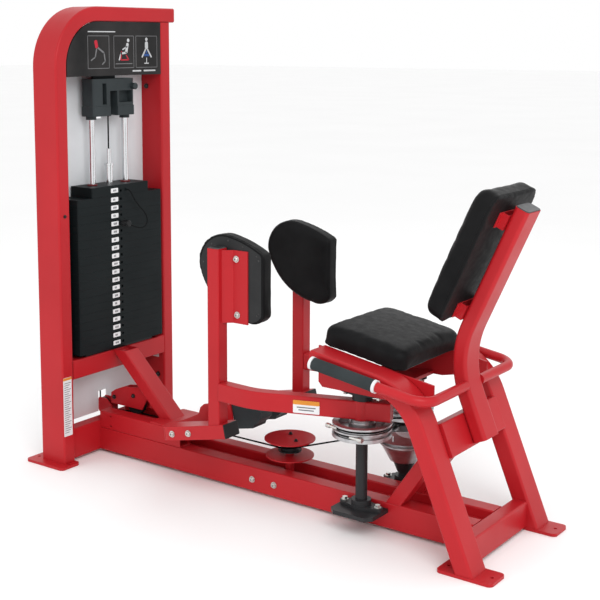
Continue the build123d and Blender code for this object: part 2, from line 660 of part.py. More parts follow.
def raked_bar(z_low, length, beyond_rear, half):
    """A cross tube between the legs, in line with their rake, rear face near theirs."""
    depth = LEG_DEPTH
    low = leg_station(z_low, beyond_rear)
    mid = (low[0] + LEG_UP[0] * length / 2 - LEG_OUT[0] * depth / 2,
           low[1] + LEG_UP[1] * length / 2 - LEG_OUT[1] * depth / 2)
    return straight_tube((mid[0], -half, mid[1]), (mid[0], half, mid[1]), length, depth,
                         (LEG_UP[0], 0, LEG_UP[1]), capped=True)


def foot_plate(x_low, x_high, y_low, y_high, holes):
    plate = block((x_low, x_high), (y_low, y_high), (0, PLATE))
    plate = fillet(plate.edges().filter_by(Axis.Z), 16)
    for x in holes:
        plate -= post(x, (y_low + y_high) / 2, -1, PLATE + 1, 6.0)
    return plate


def foot_plates():
    tower_foot = foot_plate(-156, 46, -360, -262, (-132, 33))
    rear_foot = foot_plate(1621, 1812, -286, -186, (1643, 1790))
    save("foot_plates", *both(tower_foot), *both(rear_foot))


def seat_structure():
    """Side plates between the seat rails, joined by the plate that carries the upper bearings."""
    sides = outline_xz([(1112, 500), (1128, 484), (1380, 484), (1549, 520), (1549, 560),
                        (1112, 625)], -LEG_INNER, -LEG_INNER + 8)
    half = LEG_INNER - 4
    cross = block((1170, 1346), (-half, half), (484, 496))
    save("seat_frame_plates", sides + far(sides) + cross)


def spine():
    low = leg_station(SPINE_FOOT_Z, SPINE_SETBACK)
    start = (low[0] + LEG_OUT[0] * SPINE_DEEP / 2, low[1] + LEG_OUT[1] * SPINE_DEEP / 2)
    up = (sin(radians(SPINE_TILT)), cos(radians(SPINE_TILT)))
    knee = meet(start, LEG_UP, SPINE_TOP, up)
    points = [(start[0], 0, start[1]), (knee[0], 0, knee[1]), (SPINE_TOP[0], 0, SPINE_TOP[1])]
    tube = bent_tube(points, SPINE_BEND, SPINE_WIDE, SPINE_DEEP, (0, 1, 0), corner=12)
    for along in (60, 392):
        x = SPINE_TOP[0] - up[0] * along - up[1] * SPINE_DEEP / 2
        z = SPINE_TOP[1] - up[1] * along + up[0] * SPINE_DEEP / 2
        tube += back_tab(x, z)
    save("back_spine", tube)
    return up


def back_tab(x, z):
    """A saddle bracket on the front of the spine that carries the back pad."""
    tab = Box(25, 116, 52)
    tab -= Pos(-3, 0, 0) * Box(25, 106, 60)
    tab += Pos(-11, 0, 0) * Box(3, 150, 52)
    return Pos(x, 0, z) * Rot(0, SPINE_TILT, 0) * Pos(-12.5, 0, 0) * tab


BACK_LONG = 468.0
BACK_WIDE = 330.0
BACK_THICK = 68.0
SEAT_LONG = 326.0
SEAT_WIDE = 414.0
SEAT_THICK = 66.0


def cushion(long, wide, thick, corner, edge):
    """A plain pad lying on z = 0, with rounded corners and edges."""
    pad = extrude(RectangleRounded(long, wide, corner), amount=thick)
    return fillet(pad.faces().sort_by(Axis.Z)[-1].edges(), edge)


def pads():
    up = (sin(radians(SPINE_TILT)), cos(radians(SPINE_TILT)))
    clear = SPINE_DEEP / 2 + 25.3
    middle = 199.0
    x = SPINE_TOP[0] - up[0] * middle - up[1] * clear
    z = SPINE_TOP[1] - up[1] * middle + up[0] * clear
    flat = cushion(BACK_LONG, BACK_WIDE, BACK_THICK, 45, 26)
    save("back_pad", Pos(x, 0, z) * Rot(0, SPINE_TILT - 90, 0) * flat)

    centre = 1121 + SEAT_LONG / 2 * RAIL_BACK[0]
    top = SEAT_RAIL_FRONT[1] + (SEAT_RAIL_FRONT[0] - centre) * tan(radians(SEAT_TILT)) + 0.5
    flat = cushion(SEAT_LONG, SEAT_WIDE, SEAT_THICK, 42, 24)
    save("seat_cushion", Pos(centre, 0, top) * Rot(0, SEAT_TILT, 0) * flat)


def handles():
    """Round-tube handles from the spine, forward beside the seat."""
    drop = tan(radians(HANDLE_TILT))
    front_z = HANDLE_CORNER[1] + (HANDLE_CORNER[0] - HANDLE_FRONT) * drop
    path = FilletPolyline((HANDLE_FRONT, -HANDLE_Y, front_z),
                          (HANDLE_CORNER[0], -HANDLE_Y, HANDLE_CORNER[1]),
                          (HANDLE_CORNER[0], -SPINE_WIDE / 2, HANDLE_CORNER[1]), radius=62)
    along = path % 0
    section = Plane(origin=path @ 0, x_dir=(0, 1, 0), z_dir=along)
    tube = sweep(section * Circle(HANDLE_R), path=path)
    save("handles", *both(tube))

    def sleeve(x_low, x_high, radius):
        low, high = [Vector(x, -HANDLE_Y, HANDLE_CORNER[1] + (HANDLE_CORNER[0] - x) * drop)
                     for x in (x_low, x_high)]
        plane = Plane(origin=low, x_dir=(0, 1, 0), z_dir=along)
        return extrude(plane * (Circle(radius) - Circle(HANDLE_R + 0.1)), amount=(high - low).length)

    save("hand_grips", *both(sleeve(GRIP_SPAN[0], GRIP_SPAN[1], 20.5)))
    collars = both(sleeve(GRIP_SPAN[0] - 10, GRIP_SPAN[0] - 0.2, 21.5))
    collars += both(sleeve(GRIP_SPAN[1] + 0.2, GRIP_SPAN[1] + 10, 21.5))
    save("grip_collars", *collars)


# ---- leg arms -----------------------------------------------------------------------
def foot_frame():
    """Frame of the foot tube: X along it to the rear, Z square to it, Y as the machine's."""
    tilt = radians(FOOT_TILT)
    return Plane(origin=(FOOT_TUBE_END[0], 0, FOOT_TUBE_END[1]), x_dir=(cos(tilt), 0, sin(tilt)),
                 z_dir=(-sin(tilt), 0, cos(tilt)))


def arm_post():
    """Near post with its foot tube, foot bracket and pad bracket, welded as one."""
    frame = foot_frame()
    outside = (-FOOT_TUBE_OUTER, -FOOT_TUBE_INNER)
    tube = block((-FOOT_TUBE_LONG, 0), outside, (0, FOOT_TUBE_HIGH))
    tube = fillet(tube.edges().filter_by(Axis.Z).group_by(Axis.X)[0].sort_by(Axis.Y)[0], 60)
    hollow = block((-FOOT_TUBE_LONG + 60, 5), (outside[0] + WALL, outside[1] - WALL),
                   (WALL, FOOT_TUBE_HIGH - WALL))
    cap = block((-4, 0), (outside[0] + 1, outside[1] - 1), (1, FOOT_TUBE_HIGH - 1))
    shelf_outline = [(-112, -FOOT_TUBE_INNER - 40), (-112, -CHEEK_Y + 6), (-402, -CHEEK_Y + 6),
                     (-402, -150), (-312, -FOOT_TUBE_INNER - 40)]
    shelf = extrude(make_face(Polyline(*[(x, y, -6) for x, y in shelf_outline], close=True)), amount=6)
    cheek = outline_xz([(-402, -6), (-402, 26), (-332, 37), (-264, 54), (-257, 59), (-245, 80),
                        (-225, 91), (-199, 93), (-98, 86), (-98, -6)], -CHEEK_Y, -CHEEK_Y + 6)
    foot = frame * (tube - hollow + cap + shelf + cheek)
    column = straight_tube((POST_X, -POST_Y, 262), (POST_X, -POST_Y, POST_TOP), POST, POST,
                           (1, 0, 0), corner=5, through=False)
    return column + foot + pad_bracket()


def pad_bracket():
    """Folded plate from the post's rear face to the back of the thigh pad."""
    rear = POST_X + POST / 2
    face_y = -PAD_OUTER - 0.2
    corners = [(rear - 2, -262), (rear + 30, face_y - 6), (rear + 92, face_y - 6), (rear + 92, face_y),
               (rear + 32, face_y), (rear - 2, -254)]
    face = make_face(Polyline(*[(x, y, 0) for x, y in corners], close=True))
    return extrude(Pos(0, 0, 664) * face, amount=256)


def arm_bar():
    """Near horizontal bar from the post round to the pivot."""
    z = (BAR_LOW + BAR_HIGH) / 2
    start = (POST_X + POST / 2, -POST_Y - 4, z)
    points = [start, (BAR_BEND[0], -BAR_BEND[1], z), (BAR_END[0], -BAR_END[1], z)]
    path = FilletPolyline(*points, radius=220)
    side = (path % 0).cross(Vector(0, 0, 1))
    outer = sweep_section(path, side, RectangleRounded(BAR_WIDE, BAR_HIGH - BAR_LOW, 6))
    first = Vector(points[0]) - (path % 0) * 10
    last = Vector(points[-1]) - (path % 1) * 4
    inner = FilletPolyline(first, points[1], last, radius=220)
    hollow = RectangleRounded(BAR_WIDE - 2 * WALL, BAR_HIGH - BAR_LOW - 2 * WALL, 3)
    bar = outer - sweep_section(inner, side, hollow)
    bar -= block((0, POST_X + POST / 2 + 0.0), (-400, 0), (300, 500))
    bar += ring(SHAFT_R + 0.1, 30, BAR_LOW, BAR_HIGH, PIVOT_X, -PIVOT_Y)
    return bar - post(PIVOT_X, -PIVOT_Y, BAR_LOW - 1, BAR_HIGH + 1, SHAFT_R + 0.1)


def cam():
    """Near cam under the bar: two grooves for the crossed link cables, on a bowl-shaped web."""
    wheel = ring(SHAFT_R + 0.1, CAM_RIM, CAM_LOW, CAM_HIGH, PIVOT_X, -PIVOT_Y)
    wheel += ring(SHAFT_R + 0.1, 38, CAM_HIGH, BAR_LOW - 0.2, PIVOT_X, -PIVOT_Y)
    root = CAM_R - LINK_R - 0.4
    for z in (LINK_LOWER_Z, LINK_UPPER_Z):
        wheel -= ring(root, CAM_RIM + 5, z - 6, z + 6, PIVOT_X, -PIVOT_Y)
    wheel -= ring(45, 78, CAM_HIGH - 22, CAM_HIGH + 2, PIVOT_X, -PIVOT_Y)
    return wheel


def drive_cam():
    """Cast drum on the far shaft for the main cable, with a ribbed cone on its front side."""
    x, y = PIVOT_X, PIVOT_Y
    drum = ring(HUB_R + 0.1, DRUM_R + 8, DRUM_Z - 14, DRUM_Z + 14, x, y)
    low, high = 166.0, 304.0
    cone = Pos(x, y, (low + high) / 2) * (Cone(52, 128, high - low) - Pos(0, 0, 8) * Cone(44, 120, high - low))
    cone += ring(HUB_R + 0.1, 52, low, high, x, y)
    for turn in range(160, 281, 15):
        cone += Pos(x, y, 284) * Rot(0, 0, turn) * Pos(78, 0, 0) * Box(80, 5, 40)
    cone -= post(x, y, low - 1, high + 1, HUB_R + 0.1)
    keep = Pos(x, y, 235) * Rot(0, 0, 220) * Pos(55, 0, 0) * Box(200, 230, 150)
    body = drum + (cone & keep)
    return body - ring(DRUM_R - CABLE_R - 0.4, 160, DRUM_Z - 6, DRUM_Z + 6, x, y)


def range_hub():
    """Black hub that clamps the drum to the far shaft."""
    hub = ring(SHAFT_R + 0.1, HUB_R, 165, 328, PIVOT_X, PIVOT_Y)
    hub += Pos(PIVOT_X, PIVOT_Y, 145) * (Cone(26, HUB_R, 40) - Cylinder(SHAFT_R + 0.1, 50))
    return hub


def foot_rest():
    """Moulded foot rest on the inner side of the foot bracket."""
    profile = [(-98, -7), (-98, 88), (-4, 80), (20, 70), (32, 48), (24, 24), (4, 8), (-6, 5),
               (-14, -7)]
    inner = -CHEEK_Y + 6.3
    body = outline_xz(profile, inner, inner + 72)
    return foot_frame() * fillet(body.edges().filter_by(Axis.Y), 5)


def thigh_pad():
    """Thigh pad: straight rear edge, round top and front, tapering under."""
    with BuildLine(Plane(origin=(0, -PAD_OUTER, 0), x_dir=(1, 0, 0), z_dir=(0, -1, 0))) as trace:
        Line((915, 690), (915, 906))
        ThreePointArc((915, 906), (911, 917), (900, 925))
        ThreePointArc((900, 925), (830, 955), (760, 972))
        ThreePointArc((760, 972), (656, 945), (618, 860))
        ThreePointArc((618, 860), (693, 728), (835, 665))
        ThreePointArc((835, 665), (885, 665), (915, 690))
    pad = extrude(make_face(trace.line), amount=-PAD_THICK)
    inner = pad.faces().sort_by(Axis.Y)[-1]
    return fillet(inner.edges(), 10)


def arm_bolts():
    """Round-head bolts of the near pad bracket and of the foot tube."""
    bolts = [button_bolt(x, -PAD_OUTER - 6.2, z, (0, -1, 0)) for x, z in ((799, 890), (803, 694))]
    frame = foot_frame()
    for along in (-245, -167):
        bolts.append(frame * button_bolt(along, -FOOT_TUBE_OUTER, 24, (0, -1, 0)))
    return bolts


def arms():
    shaft = post(PIVOT_X, -PIVOT_Y, 81, 483, SHAFT_R)
    parts = {"arm_post": arm_post(), "arm_bar": arm_bar(), "pivot_shaft": shaft, "cam": cam(),
             "foot_rest": foot_rest(), "thigh_pad": thigh_pad()}
    for name, piece in parts.items():
        save(name + "_near", piece)
        save(name + "_far", far(piece))
    bolts = arm_bolts()
    save("arm_bolts_near", *bolts)
    save("arm_bolts_far", *[far(bolt) for bolt in bolts])
    save("drive_cam", drive_cam())
    save("range_hub", range_hub())


def main():
    os.makedirs("parts", exist_ok=True)
    tower()
    save("pulley_housing", pulley_housing())
    pulleys_and_guard()
    weights()
    lanyard()
    cables()
    beam()
    bearings_and_bolts()
    rear_frame()
    foot_plates()
    seat_structure()
    spine()
    pads()
    handles()
    arms()


main()
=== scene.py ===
import bpy
import bmesh
import json
import math
from mathutils import Matrix, Vector
from mathutils.bvhtree import BVHTree


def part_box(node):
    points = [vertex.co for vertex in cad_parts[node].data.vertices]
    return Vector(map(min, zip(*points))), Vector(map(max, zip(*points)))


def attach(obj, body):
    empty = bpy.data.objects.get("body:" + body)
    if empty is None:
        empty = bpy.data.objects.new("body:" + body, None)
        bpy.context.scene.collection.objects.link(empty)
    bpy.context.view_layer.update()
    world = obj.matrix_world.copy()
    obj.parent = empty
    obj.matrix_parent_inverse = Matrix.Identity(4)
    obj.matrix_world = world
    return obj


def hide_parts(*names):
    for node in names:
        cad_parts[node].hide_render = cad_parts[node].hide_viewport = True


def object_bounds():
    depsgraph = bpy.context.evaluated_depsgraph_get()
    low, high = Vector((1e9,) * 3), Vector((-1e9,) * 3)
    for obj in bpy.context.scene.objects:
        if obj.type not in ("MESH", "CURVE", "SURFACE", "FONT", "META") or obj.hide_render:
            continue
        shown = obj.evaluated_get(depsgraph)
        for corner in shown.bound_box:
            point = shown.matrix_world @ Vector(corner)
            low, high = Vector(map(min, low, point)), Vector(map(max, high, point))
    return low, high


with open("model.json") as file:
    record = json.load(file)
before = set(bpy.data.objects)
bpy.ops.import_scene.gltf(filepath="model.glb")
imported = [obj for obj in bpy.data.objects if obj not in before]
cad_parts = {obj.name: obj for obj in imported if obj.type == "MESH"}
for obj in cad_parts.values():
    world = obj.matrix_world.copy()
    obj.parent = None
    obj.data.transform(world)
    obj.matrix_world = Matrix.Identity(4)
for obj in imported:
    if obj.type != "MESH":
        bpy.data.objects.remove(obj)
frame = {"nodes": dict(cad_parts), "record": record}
CAD_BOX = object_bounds()
RECORD = frame["record"]
NODES = frame["nodes"]
BODY_OF = {n: b for b, names in RECORD["behaviour"]["bodies"].items() for n in names}


# ---- materials ------------------------------------------------------------------------
class Look:
    """A procedural material: one Principled shader and the textures that feed it."""

    def __init__(self, name, rough, metallic=0.0, bevel=0.0, **sockets):
        self.mat = bpy.data.materials.new(name)
        self.mat.use_nodes = True
        self.tree = self.mat.node_tree
        self.bsdf = self.tree.nodes["Principled BSDF"]
        self.bsdf.inputs["Roughness"].default_value = rough
        self.bsdf.inputs["Metallic"].default_value = metallic
        for socket, value in sockets.items():
            self.bsdf.inputs[socket.replace("_", " ")].default_value = value
        self.place = self.tree.nodes.new("ShaderNodeTexCoord").outputs["Object"]
        self.normal = None
        if bevel:
            node = self.tree.nodes.new("ShaderNodeBevel")
            node.samples = 4
            node.inputs["Radius"].default_value = bevel
            self.normal = node.outputs["Normal"]
            self.tree.links.new(self.normal, self.bsdf.inputs["Normal"])

    def link(self, a, b):
        self.tree.links.new(a, b)

    def stretched(self, scale):
        node = self.tree.nodes.new("ShaderNodeMapping")
        node.inputs["Scale"].default_value = scale
        self.link(self.place, node.inputs["Vector"])
        return node.outputs["Vector"]

    def noise(self, scale, detail=3.0, stretch=None):
        node = self.tree.nodes.new("ShaderNodeTexNoise")
        node.inputs["Scale"].default_value = scale
        node.inputs["Detail"].default_value = detail
        self.link(self.stretched(stretch) if stretch else self.place, node.inputs["Vector"])
        return node.outputs["Fac"]

    def cells(self, scale, feature="F1"):
        node = self.tree.nodes.new("ShaderNodeTexVoronoi")
        node.feature = feature
        node.inputs["Scale"].default_value = scale
        self.link(self.place, node.inputs["Vector"])
        return node.outputs["Distance"]

    def ramp(self, fac, stops):
        node = self.tree.nodes.new("ShaderNodeValToRGB")
        ramp = node.color_ramp
        for i, (at, colour) in enumerate(stops):
            stop = ramp.elements[i] if i < 2 else ramp.elements.new(at)
            stop.position = at
            stop.color = (*colour, 1.0)
        self.link(fac, node.inputs["Fac"])
        return node.outputs["Color"]

    def colour(self, fac, low, high, start=0.3, end=0.7):
        self.link(self.ramp(fac, [(start, low), (end, high)]), self.bsdf.inputs["Base Color"])
        return self

    def roughness(self, fac, low, high):
        node = self.tree.nodes.new("ShaderNodeMapRange")
        node.inputs["From Min"].default_value = 0.3
        node.inputs["From Max"].default_value = 0.7
        node.inputs["To Min"].default_value = low
        node.inputs["To Max"].default_value = high
        self.link(fac, node.inputs["Value"])
        self.link(node.outputs["Result"], self.bsdf.inputs["Roughness"])
        return self

    def bump(self, fac, strength, depth):
        node = self.tree.nodes.new("ShaderNodeBump")
        node.inputs["Strength"].default_value = strength
        node.inputs["Distance"].default_value = depth
        self.link(fac, node.inputs["Height"])
        if self.normal:
            self.link(self.normal, node.inputs["Normal"])
        self.normal = node.outputs["Normal"]
        self.link(self.normal, self.bsdf.inputs["Normal"])
        return self


def paint(name, low, high, rough, coat=0.0, bevel=0.0015, shine=0.2):
    look = Look(name, rough, bevel=bevel, Coat_Weight=coat, Coat_Roughness=0.25, Specular_IOR_Level=shine)
    look.colour(look.noise(2.6, 4), low, high)
    look.roughness(look.noise(9, 3), rough - 0.05, rough + 0.07)
    look.bump(look.noise(420, 2), 0.10, 0.0006)
    return look


def metal(name, low, high, rough, spread, grain, depth, stretch=None, bevel=0.0008):
    look = Look(name, rough, 1.0, bevel=bevel)
    look.colour(look.noise(30, 4, stretch), low, high)
    look.roughness(look.noise(grain, 3, stretch), rough - spread, rough + spread)
    look.bump(look.noise(grain, 3, stretch), 0.25, depth)
    return look


def moulded(name, low, high, rough, grain=1100, depth=0.0002, bevel=0.001, shine=0.2):
    look = Look(name, rough, bevel=bevel, Specular_IOR_Level=shine)
    look.colour(look.noise(7, 3), low, high)
    look.roughness(look.noise(60, 2), rough - 0.05, rough + 0.06)
    look.bump(look.noise(grain, 2), 0.35, depth)
    return look


def vinyl(name, low, high):
    look = Look(name, 0.45, Sheen_Weight=0.02, Sheen_Roughness=0.4, Specular_IOR_Level=0.09)
    look.colour(look.noise(14, 4), low, high)
    look.roughness(look.noise(45, 3), 0.42, 0.55)
    look.bump(look.cells(780, "DISTANCE_TO_EDGE"), 0.30, 0.00035)
    look.bump(look.noise(22, 3), 0.22, 0.0035)
    return look


RED_LOW, RED_HIGH = (0.40, 0.009, 0.014), (0.47, 0.013, 0.019)
LOOKS = {
    "red_paint": paint("red_powder_coat", RED_LOW, RED_HIGH, 0.40, 0.10),
    "black_paint": paint("black_powder_coat", (0.012, 0.012, 0.013), (0.024, 0.024, 0.026), 0.42, 0.1),
    "vinyl": vinyl("grained_vinyl", (0.0045, 0.0045, 0.0050), (0.0080, 0.0080, 0.0085)),
    "stack_black": paint("stack_plate_paint", (0.0035, 0.0060, 0.0068), (0.0065, 0.0100, 0.0110), 0.46,
                         bevel=0.0012, shine=0.12),
    "plastic_dark": moulded("moulded_slate", (0.020, 0.026, 0.028), (0.030, 0.038, 0.041), 0.48),
    "plastic_black": moulded("moulded_black", (0.010, 0.010, 0.011), (0.018, 0.018, 0.019), 0.38),
    "chrome": metal("chrome_plate", (0.74, 0.75, 0.77), (0.84, 0.85, 0.86), 0.12, 0.04, 500, 0.00003,
                    (1, 1, 0.05)),
    "steel": metal("zinc_plate", (0.52, 0.52, 0.50), (0.72, 0.71, 0.68), 0.30, 0.08, 260, 0.0001),
    "cast_aluminium": metal("cast_aluminium", (0.40, 0.40, 0.41), (0.60, 0.60, 0.61), 0.42, 0.10, 240,
                            0.0006, bevel=0.002),
    "cable_black": moulded("cable_jacket", (0.0012, 0.0012, 0.0014), (0.0026, 0.0026, 0.0028), 0.50, 900, 0.0001,
                           0, shine=0.06),
    "shroud_grey": moulded("pale_sheet", (0.66, 0.69, 0.71), (0.74, 0.77, 0.79), 0.32, 700, 0.0001, 0),
    "dark_red_plastic": moulded("dark_red_bushing", (0.12, 0.014, 0.016), (0.17, 0.02, 0.024), 0.42),
    "grip_rubber": moulded("foam_grip", (0.022, 0.028, 0.030), (0.034, 0.042, 0.045), 0.72, 1500, 0.0006, 0),
    "collar_white": moulded("pale_collar", (0.66, 0.67, 0.69), (0.78, 0.79, 0.80), 0.28),
    "placard_black": moulded("panel_black", (0.004, 0.004, 0.0045), (0.022, 0.020, 0.020), 0.33, 1200,
                             0.00005, 0),
    "bolt_dark": metal("black_oxide", (0.04, 0.04, 0.04), (0.09, 0.09, 0.09), 0.35, 0.08, 300, 0.00008),
}
LABEL = moulded("label_white", (0.70, 0.71, 0.72), (0.80, 0.81, 0.82), 0.40, 900, 0.00003, 0)
INK = moulded("label_ink", (0.10, 0.10, 0.11), (0.16, 0.16, 0.17), 0.5, 900, 0.00003, 0)
AMBER = moulded("label_amber", (0.62, 0.23, 0.03), (0.72, 0.29, 0.045), 0.45, 900, 0.00003, 0)
LINES = moulded("panel_lines", (0.12, 0.12, 0.125), (0.18, 0.18, 0.185), 0.5, 900, 0.00003, 0)
FIGURE = moulded("panel_figure", (0.42, 0.43, 0.44), (0.55, 0.56, 0.57), 0.5, 900, 0.00003, 0)
FIGURE_RED = moulded("panel_figure_red", (0.40, 0.015, 0.03), (0.5, 0.02, 0.04), 0.5, 900, 0.00003, 0)
FIGURE_BLUE = moulded("panel_figure_blue", (0.02, 0.06, 0.20), (0.03, 0.09, 0.28), 0.5, 900, 0.00003, 0)
CAP_GREY = moulded("cap_grey", (0.060, 0.062, 0.065), (0.085, 0.088, 0.09), 0.42)
BOARD = moulded("pad_board", (0.016, 0.017, 0.018), (0.026, 0.027, 0.028), 0.55, 300, 0.0006, 0.0005)

for row in RECORD["subparts"]:
    mesh = NODES[row["node"]].data
    mesh.materials.clear()
    mesh.materials.append(LOOKS[row["material_slot"]].mat)


# ---- building helpers -----------------------------------------------------------------
def finish_mesh(name, mesh, look, body, smooth=True):
    piece = bpy.data.objects.new(name, mesh)
    bpy.context.scene.collection.objects.link(piece)
    mesh.materials.clear()
    mesh.materials.append(look.mat)
    if smooth:
        for polygon in mesh.polygons:
            polygon.use_smooth = True
    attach(piece, body)
    return piece


def basis(origin, right, up):
    """Matrix whose X and Y lie in the plate and whose Z is its outward normal."""
    x, y = Vector(right).normalized(), Vector(up).normalized()
    z = x.cross(y)
    return Matrix(((x.x, y.x, z.x, origin[0]), (x.y, y.y, z.y, origin[1]),
                   (x.z, y.z, z.z, origin[2]), (0, 0, 0, 1)))


def extruded(bm, outline, thick, matrix, bevel=0.0):
    """A flat outline of (x, y) points raised to a plate, its outer edge rounded over."""
    low = [bm.verts.new(matrix @ Vector((x, y, 0))) for x, y in outline]
    face = bm.faces.new(low)
    made = bmesh.ops.extrude_face_region(bm, geom=[face])
    top = [v for v in made["geom"] if isinstance(v, bmesh.types.BMVert)]
    bmesh.ops.translate(bm, verts=top, vec=matrix.to_3x3() @ Vector((0, 0, thick)))
    if bevel:
        rim = [e for e in bm.edges if e.verts[0] in top and e.verts[1] in top]
        bmesh.ops.bevel(bm, geom=rim, offset=bevel, segments=2, profile=0.6, affect="EDGES")


def rounded_rect(wide, high, corner, x=0.0, y=0.0, steps=4):
    points = []
    for cx, cy, start in ((1, 1, 0), (-1, 1, 90), (-1, -1, 180), (1, -1, 270)):
        for k in range(steps + 1):
            a = math.radians(start + 90 * k / steps)
            points.append((x + cx * (wide / 2 - corner) + corner * math.cos(a),
                           y + cy * (high / 2 - corner) + corner * math.sin(a)))
    return points


def plates(name, outlines, thick, matrix, look, body, bevel=0.0):
    """One piece of several small plates lying in the same plane."""
    bm = bmesh.new()
    for outline in outlines:
        extruded(bm, outline, thick, matrix, bevel)
    bmesh.ops.recalc_face_normals(bm, faces=bm.faces)
    mesh = bpy.data.meshes.new(name)
    bm.to_mesh(mesh)
    bm.free()
    return finish_mesh(name, mesh, look, body, smooth=False)


def bar(a, b, wide):
    """Outline of a straight stroke from a to b with cut corners at its ends."""
    a, b = Vector(a), Vector(b)
    along = (b - a).normalized()
    side = Vector((-along.y, along.x)) * wide / 2
    nose = along * wide * 0.3
    return [tuple(p) for p in (a - nose - side * 0.5, a - side, b - side, b + nose - side * 0.5,
                               b + nose + side * 0.5, b + side, a + side, a - nose + side * 0.5)]


def disc(x, y, radius, steps=16):
    return [(x + radius * math.cos(2 * math.pi * k / steps), y + radius * math.sin(2 * math.pi * k / steps))
            for k in range(steps)]


def frame_bars(wide, high, x, y, stroke):
    """Four strokes round a rectangle."""
    w, h = wide / 2, high / 2
    corners = [(x - w, y - h), (x + w, y - h), (x + w, y + h), (x - w, y + h)]
    return [bar(corners[i], corners[(i + 1) % 4], stroke) for i in range(4)]


def curve(name, points, radius, look, body, closed=False, order=3):
    """A round tube along a smooth line."""
    data = bpy.data.curves.new(name, "CURVE")
    data.dimensions = "3D"
    data.bevel_depth = radius
    data.bevel_resolution = 3
    data.use_fill_caps = not closed
    data.resolution_u = 8
    spline = data.splines.new("NURBS")
    spline.points.add(len(points) - 1)
    for p, target in zip(spline.points, points):
        p.co = (*target, 1.0)
    spline.use_cyclic_u = closed
    spline.order_u = order
    if not closed:
        spline.use_endpoint_u = True
    piece = bpy.data.objects.new(name, data)
    bpy.context.scene.collection.objects.link(piece)
    data.materials.append(look.mat)
    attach(piece, body)
    return piece


# ---- camera, light and floor ----------------------------------------------------------
def stage_and_camera():
    lo, hi = CAD_BOX
    bpy.context.scene.view_settings.view_transform = "Standard"
    data = bpy.data.cameras.new("camera")
    data.sensor_width = 36.0
    data.lens = 72.68
    data.shift_x = 0.062
    data.shift_y = -0.15
    camera = bpy.data.objects.new("camera", data)
    camera.location = (2.5097, -3.4616, 1.6344)
    camera.rotation_euler = (math.radians(90 - 7.954), 0, math.radians(36.918))
    bpy.context.scene.collection.objects.link(camera)
    bpy.context.scene.camera = camera

    bm = bmesh.new()
    bmesh.ops.create_grid(bm, x_segments=2, y_segments=2, size=60.0)
    mesh = bpy.data.meshes.new("floor")
    bm.to_mesh(mesh)
    bm.free()
    floor = bpy.data.objects.new("floor", mesh)
    floor.location = (0, 0, lo.z - 0.0005)
    bpy.context.scene.collection.objects.link(floor)
    ground = Look("floor_white", 0.9)
    ground.colour(ground.noise(0.6, 2), (0.95, 0.95, 0.95), (0.97, 0.97, 0.97))
    mesh.materials.append(ground.mat)

    world = bpy.data.worlds.new("world")
    world.use_nodes = True
    background = world.node_tree.nodes["Background"]
    background.inputs["Color"].default_value = (1.0, 1.0, 1.0, 1.0)
    background.inputs["Strength"].default_value = 1.0
    bpy.context.scene.world = world

    centre = (lo + hi) / 2
    for name, place, size, power in (("key", (3.2, -2.6, 3.6), 2.4, 90), ("fill", (-2.6, -4.2, 2.6), 3.0, 20),
                                     ("back", (-0.5, 4.0, 3.6), 3.0, 15)):
        light = bpy.data.lights.new(name, "AREA")
        light.shape = "SQUARE"
        light.size = size
        light.energy = power
        lamp = bpy.data.objects.new(name, light)
        lamp.location = place
        lamp.rotation_euler = (centre - Vector(place)).to_track_quat("-Z", "Y").to_euler()
        bpy.context.scene.collection.objects.link(lamp)


stage_and_camera()


# ---- the selector pin's cord ----------------------------------------------------------
def lanyard():
    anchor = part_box("head_plate")[1].x
    eye = (anchor, 0.032, 1.050)
    route = [eye, (anchor + 0.009, 0.032, 1.050), (anchor + 0.014, 0.042, 1.035),
             (anchor + 0.010, 0.064, 1.005), (anchor + 0.008, 0.096, 0.974), (anchor + 0.012, 0.122, 0.948),
             (anchor + 0.021, 0.127, 0.920), (anchor + 0.029, 0.108, 0.898), (anchor + 0.031, 0.078, 0.892),
             (anchor + 0.029, 0.050, 0.899), (anchor + 0.024, 0.030, 0.909), (anchor + 0.023, 0.0133, 0.912)]
    cord = curve("selector_cord", route, 0.0016, LOOKS["cable_black"], "stack")
    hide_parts("pin_lanyard")


lanyard()


# ---- padded pieces --------------------------------------------------------------------
def copy_mesh(node, name):
    mesh = NODES[node].data.copy()
    mesh.name = name
    bm = bmesh.new()
    bm.from_mesh(mesh)
    bmesh.ops.remove_doubles(bm, verts=bm.verts, dist=0.00005)
    bm.to_mesh(mesh)
    bm.free()
    return mesh


def apply_modifiers(piece):
    graph = bpy.context.evaluated_depsgraph_get()
    mesh = bpy.data.meshes.new_from_object(piece.evaluated_get(graph))
    piece.modifiers.clear()
    piece.data = mesh


def inflate(piece, back, cap, pressure=4.0):
    """Cloth pressure on the pad; its backed side stays flat and no point moves past the cap."""
    rest = [v.co.copy() for v in piece.data.vertices]
    cloth = piece.modifiers.new("Cloth", "CLOTH")
    cloth.settings.use_pressure = True
    cloth.settings.uniform_pressure_force = pressure
    cloth.settings.effector_weights.gravity = 0.0
    cloth.settings.quality = 4
    cloth.point_cache.frame_start = 1
    cloth.point_cache.frame_end = 20
    scene = bpy.context.scene
    for number in range(1, 21):
        scene.frame_set(number)
    graph = bpy.context.evaluated_depsgraph_get()
    swollen = [v.co.copy() for v in piece.evaluated_get(graph).data.vertices]
    piece.modifiers.remove(cloth)
    scene.frame_set(1)
    far_back = max(p.dot(back) for p in rest)
    for vertex, before, after in zip(piece.data.vertices, rest, swollen):
        move = after - before
        depth = far_back - before.dot(back)
        free = min(1.0, max(0.0, depth / 0.02))
        if move.dot(back) > 0:
            move -= back * move.dot(back)
        move *= 0.25 + 0.75 * free
        if move.length > cap:
            move *= cap / move.length
        vertex.co = before + move


